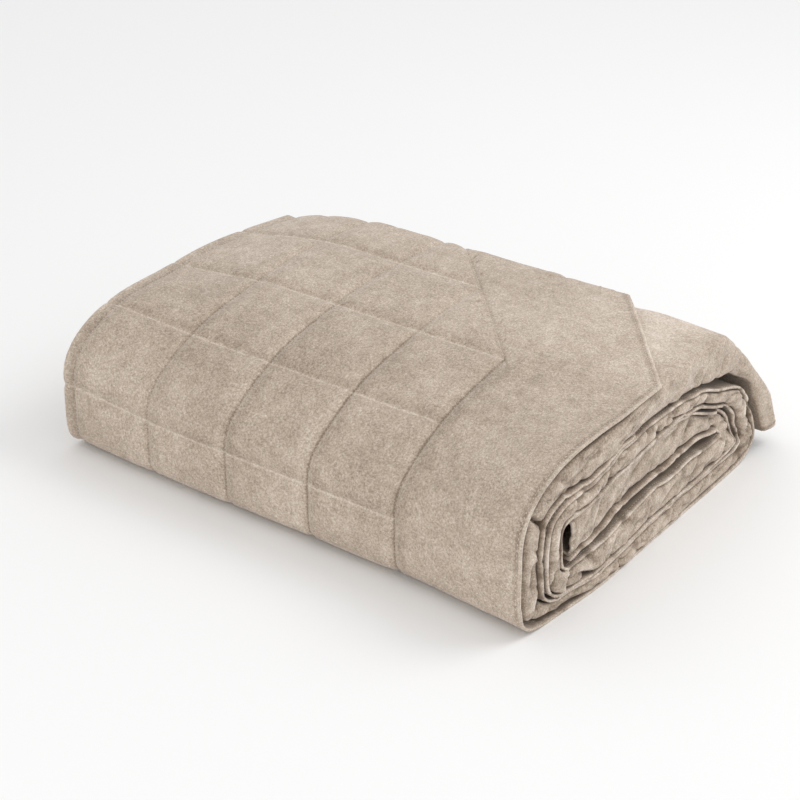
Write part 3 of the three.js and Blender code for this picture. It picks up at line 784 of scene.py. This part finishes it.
shownEdge = plyEnds[1] - 0.05
slope = quilt["cutSlope"]
cutAlong((0, quilt["cutAcross"], 0), (-slope, 1, 0), lambda c: c.x < 4 and c.y > 1, True)
farCorner = (clothWidth, quilt["cutAcross"], 0)
cutAlong(farCorner, (slope, 1, 0), lambda c: c.x > clothWidth - 4 and c.y > 1, True)
for seam in range(5):  # cross seams, only where the outer ply shows
    for offset in seamOffsets[:-1]:
        place = quilt["hem"] - seam - offset
        if 0.5 < place < shownEdge:
            cutAlong((place, 0, 0), (1, 0, 0), lambda c: 0.45 < c.x < shownEdge and c.y > lastShown - 0.01)
for offset in (-0.1, -0.05, -0.02, 0, 0.02, 0.05, 0.1):  # the seam across the corner
    cutAlong((3.45 + offset, 4, 0), (-1, 1, 0), lambda c: 1.3 < c.x < 3.7 and 1.8 < c.y < 4.2)
for depth in (0.015, 0.03, 0.045, 0.06, 0.09, 0.14, 0.25):  # the hem of the cut corner
    height = quilt["cutAcross"] - depth * math.hypot(1, slope)
    cutAlong((0, height, 0), (-slope, 1, 0), lambda c: c.x < 4 and c.y > 1 and c.y - slope * c.x > 1.9)


def nearHemEnd(across):
    return across < 0.5 or plyEnds[3] - 0.5 < across < plyEnds[4] + 0.5 or across > clothWidth - 0.5


rowEdges = []
for edge in bm.edges:
    a, b = edge.verts
    alongOnly = abs(a.co.x - b.co.x) < 1e-6 and abs(a.co.y - b.co.y) > 0.05
    if alongOnly and nearHemEnd(a.co.x) and a.co.y < 4.2:
        rowEdges.append(edge)
bmesh.ops.subdivide_edges(bm, edges=rowEdges, cuts=2, use_grid_fill=True)
faceMiddles = [(f, f.calc_center_median()) for f in bm.faces]
fineFaces = [f for f, middle in faceMiddles if middle.x < shownEdge and middle.y > lastShown]
fineEdges = dict.fromkeys(e for f in fineFaces for e in f.edges if e.calc_length() > 0.07)
bmesh.ops.subdivide_edges(bm, edges=list(fineEdges), cuts=1, use_grid_fill=True)

uvLayer = bm.loops.layers.uv.new("cloth")
for face in bm.faces:
    for loop in face.loops:
        loop[uvLayer].uv = (loop.vert.co.x * square * mm, loop.vert.co.y * square * mm)
# painted light and shade of every point, read by the material
shades = bm.verts.layers.float.new("shade")
flatPlaces = [(vert, vert.co.x, vert.co.y) for vert in bm.verts]
for vert, across, along in flatPlaces:
    vert.co = clothPoint(across, along)
bm.normal_update()
topVert = max(bm.verts, key=lambda v: v.co.z)
if topVert.normal.z < 0:
    bmesh.ops.reverse_faces(bm, faces=bm.faces)
    bm.normal_update()
for vert, across, along in flatPlaces:
    place = vert.co + vert.normal * reliefAt(across, along)
    vert.co = toPart(dented(place, across, along), 1.3)
    vert[shades] = paintedShadingAt(across, along, turnAt(along), place)
bm.normal_update()
mesh = bpy.data.meshes.new("quilt_cloth")
bm.to_mesh(mesh)
triangleCount = 2 * sum(len(f.verts) - 2 for f in bm.faces)
print(f"Quilt: {len(bm.verts)} points, {triangleCount} triangles with its thickness")
bm.free()
mesh.shade_smooth()
cloth = bpy.data.objects.new("quilt_cloth", mesh)
bpy.context.collection.objects.link(cloth)
solid = cloth.modifiers.new("thickness", "SOLIDIFY")
solid.thickness = quilt["thickness"] * mm
solid.offset = 0

# Thread along the seams and hems
thread = {"pitch": 4.2, "length": 3.1, "width": 0.8, "height": 0.6, "sunk": 0.1}


def flatPaths():
    hem, edge = quilt["hem"], relief["hemStitch"]
    cutStart = quilt["cutAcross"] + edge * slope - edge * math.hypot(1, slope)
    cutEnd = (firstAlong - edge - cutStart) / slope + edge
    paths = []
    for seam in range(5):
        outermost = min(quilt["lastSeam"], quilt["cornerSeam"] - seam)
        paths.append(((hem - seam, -0.62), (hem - seam, outermost)))  # cross seam
        paths.append(((hem - outermost, seam), (plyEnds[2], seam)))  # long seam
    last = quilt["lastSeam"]
    beside = quilt["cornerSeam"] - last
    paths.append(((hem - last, beside), (hem - beside, last)))  # across the corner
    paths.append(((edge, lastAlong + edge), (edge, cutStart)))
    paths.append(((edge, cutStart), (cutEnd, firstAlong - edge)))
    paths.append(((cutEnd, firstAlong - edge), (clothWidth - cutEnd, firstAlong - edge)))
    paths.append(((clothWidth - edge, cutStart), (clothWidth - edge, lastAlong + edge)))
    return paths


threadOver = quilt["thickness"] / 2 - thread["sunk"]
threadSize = (thread["length"] / 2, thread["width"] / 2, thread["height"] / 2, 1 / mm)
threadBm = bmesh.new()
for (across0, along0), (across1, along1) in flatPaths():
    length = math.hypot(across1 - across0, along1 - along0)
    count = max(1, round(length * square / thread["pitch"]))
    step = 0.3 / count
    for i in range(count):
        share = (i + 0.5) / count
        across, along = mix(across0, across1, share), mix(along0, along1, share)
        place, normal = surfacePoint(across, along, threadOver)
        aheadAcross, aheadAlong = mix(across0, across1, share + step), mix(along0, along1, share + step)
        ahead, _ = surfacePoint(aheadAcross, aheadAlong, threadOver)
        way = (ahead - place).normalized()
        side = normal.cross(way).normalized()
        up = way.cross(side)
        centre = toPart(place, 0.7)
        turned = Matrix((way, side, up)).transposed().to_4x4()
        stitchPlace = Matrix.Translation(centre) @ turned @ (Matrix.Diagonal(threadSize) * mm)
        bmesh.ops.create_icosphere(threadBm, subdivisions=1, radius=1, matrix=stitchPlace)
threadMesh = bpy.data.meshes.new("quilt_stitches")
threadBm.to_mesh(threadMesh)
print(f"Stitches: {len(threadBm.faces)} triangles")
threadBm.free()
threadMesh.shade_smooth()
stitches = bpy.data.objects.new("quilt_stitches", threadMesh)
bpy.context.collection.objects.link(stitches)
for piece in (cloth, stitches):
    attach(piece, "root")
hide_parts("quilt")
print("Quilt made")


suede = {  # short-napped cloth: clouds of nap laid both ways, fine flecks, and a soft sheen
    "dark": (0.245, 0.185, 0.135, 1),
    "middle": (0.50, 0.407, 0.322, 1),
    "light": (0.80, 0.70, 0.60, 1),
    "layers": (  # scale, detail, roughness and weight
        ("cloud", 14, 5, 0.62, 0.22),
        ("patch", 70, 4, 0.65, 0.26),
        ("fleck", 400, 3, 0.75, 0.62),
        ("grain", 1000, 2, 0.6, 0.5),
    ),
    "shade": 0.3,  # weight of the painted light and shade of the seams, hems, folds and dents
    "roughness": 0.93,
    "sheen": 0.18,
    "bump": 0.5,
}


def napMaterial(name, thing):
    material = bpy.data.materials.new(name)
    material.use_nodes = True
    nodes, links = material.node_tree.nodes, material.node_tree.links
    shader = nodes["Principled BSDF"]
    shader.inputs["Roughness"].default_value = thing["roughness"]
    shader.inputs["Sheen Weight"].default_value = thing["sheen"]
    shader.inputs["Sheen Roughness"].default_value = 0.5
    place = nodes.new("ShaderNodeTexCoord")
    total, heights = None, {}
    for layer, scale, detail, roughness, weight in thing["layers"]:
        texture = nodes.new("ShaderNodeTexNoise")
        texture.name = layer
        texture.inputs["Scale"].default_value = scale
        texture.inputs["Detail"].default_value = detail
        texture.inputs["Roughness"].default_value = roughness
        links.new(place.outputs["Object"], texture.inputs["Vector"])
        heights[layer] = texture.outputs["Fac"]
        centred = nodes.new("ShaderNodeMath")
        centred.operation = "SUBTRACT"
        centred.inputs[1].default_value = 0.5
        links.new(texture.outputs["Fac"], centred.inputs[0])
        weighted = nodes.new("ShaderNodeMath")
        weighted.operation = "MULTIPLY_ADD"
        weighted.inputs[1].default_value = weight
        links.new(centred.outputs[0], weighted.inputs[0])
        if total is None:
            weighted.inputs[2].default_value = 0.5
        else:
            links.new(total, weighted.inputs[2])
        total = weighted.outputs[0]
    # painted light and shade of the seams, hems, folds and dents, added to the nap's noise before the
    # colour ramp
    places = nodes.new("ShaderNodeAttribute")
    places.attribute_name = "shade"
    shaded = nodes.new("ShaderNodeMath")
    shaded.operation = "MULTIPLY_ADD"
    shaded.inputs[1].default_value = thing["shade"]
    links.new(places.outputs["Fac"], shaded.inputs[0])
    links.new(total, shaded.inputs[2])
    total = shaded.outputs[0]
    ramp = nodes.new("ShaderNodeValToRGB")
    ramp.color_ramp.elements[0].position = 0.28
    ramp.color_ramp.elements[0].color = thing["dark"]
    ramp.color_ramp.elements[1].position = 0.72
    ramp.color_ramp.elements[1].color = thing["light"]
    middle = ramp.color_ramp.elements.new(0.5)
    middle.color = thing["middle"]
    links.new(total, ramp.inputs["Fac"])
    links.new(ramp.outputs["Color"], shader.inputs["Base Color"])
    bump = nodes.new("ShaderNodeBump")
    bump.inputs["Strength"].default_value = thing["bump"]
    bump.inputs["Distance"].default_value = 0.0008
    links.new(heights["fleck"], bump.inputs["Height"])
    links.new(bump.outputs["Normal"], shader.inputs["Normal"])
    return material


# thread: its own colour, made lighter than the cloth as a painted highlight of stitches catching the light
cotton = dict(suede, roughness=0.7, sheen=0.05)
cotton.update(dark=(0.52, 0.44, 0.37, 1), middle=(0.70, 0.62, 0.54, 1), light=(0.82, 0.75, 0.67, 1))
cloth.data.materials.append(napMaterial("beige_suede", suede))
stitches.data.materials.append(napMaterial("beige_thread", cotton))

# Studio: a pale floor, soft light and the camera
studio = {
    "cameraPlace": (1.28457, -1.65775, 1.0948),
    "cameraAim": (-0.558997, 0.701347, -0.442306),
    "lens": 98.08,
    "world": 0.85,
    "floor": 6,
    "floorColor": (0.95, 0.95, 0.95, 1),
}
floorBm = bmesh.new()
bmesh.ops.create_grid(floorBm, x_segments=1, y_segments=1, size=studio["floor"])
floorMesh = bpy.data.meshes.new("floor")
floorBm.to_mesh(floorMesh)
floorBm.free()
floor = bpy.data.objects.new("floor", floorMesh)
bpy.context.collection.objects.link(floor)
floorMaterial = bpy.data.materials.new("floor_white")
floorMaterial.use_nodes = True
floorShader = floorMaterial.node_tree.nodes["Principled BSDF"]
floorShader.inputs["Base Color"].default_value = studio["floorColor"]
floorShader.inputs["Roughness"].default_value = 0.9
floorMesh.materials.append(floorMaterial)

scene = bpy.context.scene
world = bpy.data.worlds.new("studio")
world.use_nodes = True
world.node_tree.nodes["Background"].inputs["Color"].default_value = (1, 1, 1, 1)
world.node_tree.nodes["Background"].inputs["Strength"].default_value = studio["world"]
scene.world = world
scene.view_settings.view_transform = "Standard"


def softLight(name, place, aim, size, power):
    data = bpy.data.lights.new(name, "AREA")
    data.size = size
    data.energy = power
    light = bpy.data.objects.new(name, data)
    light.location = place
    light.rotation_mode = "QUATERNION"
    light.rotation_quaternion = (Vector(aim) - Vector(place)).to_track_quat("-Z", "Y")
    bpy.context.collection.objects.link(light)


softLight("key", (1.2, 1.0, 1.8), (0, 0, 0.1), 1.2, 14)
softLight("low", (0.1, -1.8, 0.3), (0, -0.2, 0.05), 0.9, 3.4)

cameraData = bpy.data.cameras.new("camera")
cameraData.lens = studio["lens"]
cameraData.sensor_width = 36
camera = bpy.data.objects.new("camera", cameraData)
camera.location = studio["cameraPlace"]
camera.rotation_mode = "QUATERNION"
camera.rotation_quaternion = Vector(studio["cameraAim"]).to_track_quat("-Z", "Y")
bpy.context.collection.objects.link(camera)
scene.camera = camera

print("Scene ready")
